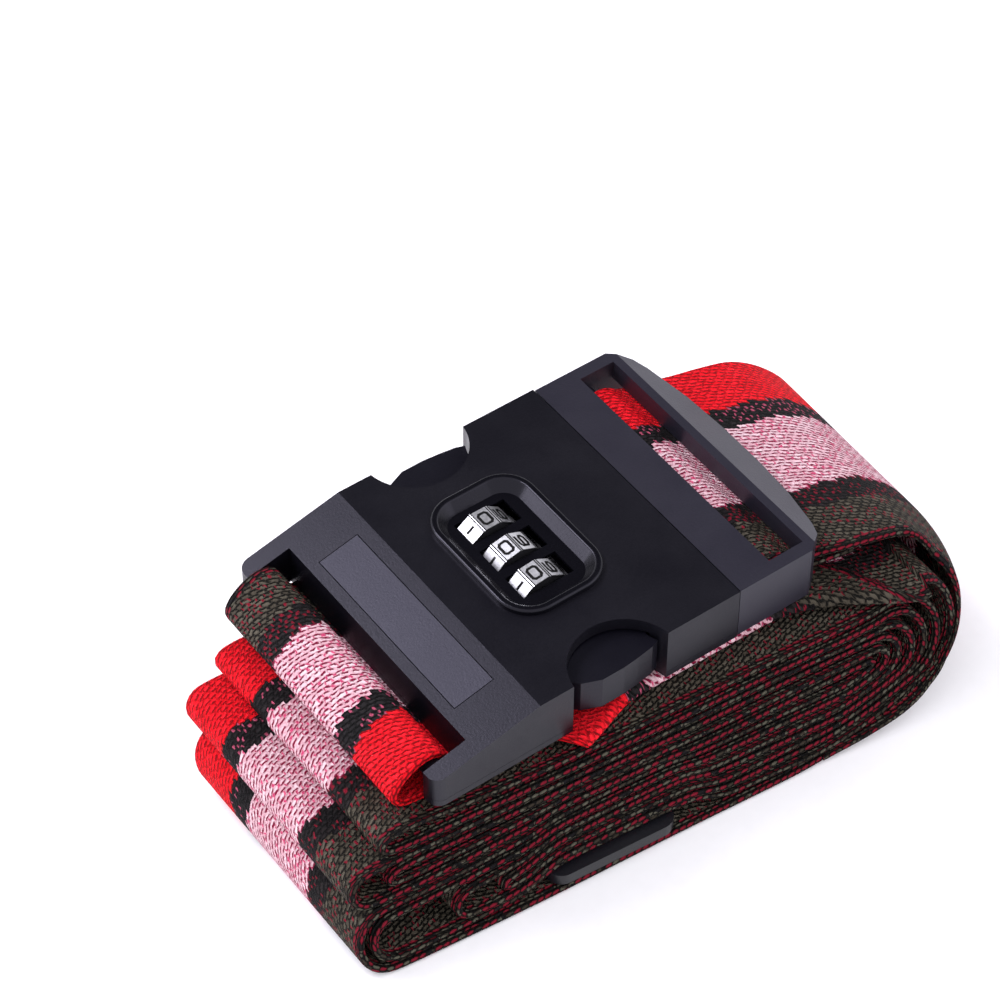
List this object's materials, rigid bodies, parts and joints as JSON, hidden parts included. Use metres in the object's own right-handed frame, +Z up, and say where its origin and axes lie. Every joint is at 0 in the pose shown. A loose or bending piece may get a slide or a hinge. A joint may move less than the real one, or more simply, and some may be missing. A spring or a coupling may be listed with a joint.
{
  "type": "combination lock luggage strap",
  "caption": "Folded flat luggage strap of striped webbing with a plastic side-release buckle, a combination lock and a web slider.",
  "frame": {"origin": "on the surface the folded strap rests on, below the middle of the line where the buckle's plug meets its socket", "axes": "+X along the buckle from socket to plug, +Y across the buckle, +Z up out of the buckle's top"},
  "size_m": [0.1321, 0.0728, 0.0406],
  "materials": {
    "shell_plastic": "fine satin",
    "plug_plastic": "fine satin",
    "bezel_plastic": "semi-gloss",
    "label_plastic": "satin, blank",
    "slider_plastic": "satin",
    "inner_plastic": "moulded",
    "dial_plastic": "pale satin with dark numbers",
    "steel": "plain",
    "webbing": "woven stripes of red, pink, olive and black",
    "thread": "sewing thread"
  },
  "bodies": {
    "socket": {"upper_shell": "shell_plastic", "lower_cover": "shell_plastic", "label_plate": "label_plastic", "dial_bezel": "bezel_plastic", "dial_axle": "steel", "detent_spring": "steel", "lock_spring": "steel", "reset_spring": "steel", "cover_screws": "steel", "webbing_bundle": "webbing", "web_slider": "slider_plastic", "webbing_twist": "webbing", "webbing_buckle_end": "webbing", "end_stitching": "thread"},
    "plug": {"plug_frame": "plug_plastic", "webbing_plug_end": "webbing"},
    "arm_left": {"release_arm_left": "plug_plastic"},
    "arm_right": {"release_arm_right": "plug_plastic"},
    "lock": {"lock_slider": "inner_plastic"},
    "reset": {"reset_button": "inner_plastic"},
    "dial_1": {"number_dial_1": "dial_plastic", "code_sleeve_1": "inner_plastic"},
    "dial_2": {"number_dial_2": "dial_plastic", "code_sleeve_2": "inner_plastic"},
    "dial_3": {"number_dial_3": "dial_plastic", "code_sleeve_3": "inner_plastic"}
  },
  "joints": [
    {"name": "plug_slide", "type": "slide", "parent": "socket", "child": "plug", "axis": [1, 0, 0], "range_m": [0, 0.045], "deforming": ["webbing_plug_end", "release_arm_left", "release_arm_right"]},
    {"name": "release_left", "type": "hinge", "parent": "plug", "child": "arm_left", "pos_m": [-0.0011, 0.0191, 0.0332], "axis": [0, 0, 1], "range_deg": [0, 9], "stiffness_Nm_per_rad": 0.05},
    {"name": "release_right", "type": "hinge", "parent": "plug", "child": "arm_right", "pos_m": [-0.0011, -0.0191, 0.0332], "axis": [0, 0, -1], "range_deg": [0, 9], "stiffness_Nm_per_rad": 0.05},
    {"name": "lock_slide", "type": "slide", "parent": "socket", "child": "lock", "axis": [-1, 0, 0], "range_m": [0, 0.0007], "stiffness_N_per_m": 0.3, "deforming": ["lock_spring"]},
    {"name": "dial_1_turn", "type": "hinge", "parent": "socket", "child": "dial_1", "pos_m": [-0.0249, 0.0091, 0.03455], "axis": [0, 1, 0], "continuous": true},
    {"name": "dial_2_turn", "type": "hinge", "parent": "socket", "child": "dial_2", "pos_m": [-0.0249, 0.00175, 0.03455], "axis": [0, 1, 0], "continuous": true},
    {"name": "dial_3_turn", "type": "hinge", "parent": "socket", "child": "dial_3", "pos_m": [-0.0249, -0.0056, 0.03455], "axis": [0, 1, 0], "continuous": true},
    {"name": "reset_press", "type": "slide", "parent": "socket", "child": "reset", "axis": [0, 0, 1], "range_m": [0, 0.0008], "stiffness_N_per_m": 2, "deforming": ["reset_spring"]}
  ],
  "couplings": [
    {"joint": "release_right", "follows": "release_left", "ratio": 1},
    {"joint": "lock_slide", "follows": "release_left", "m_per_rad": 0.0044}
  ]
}
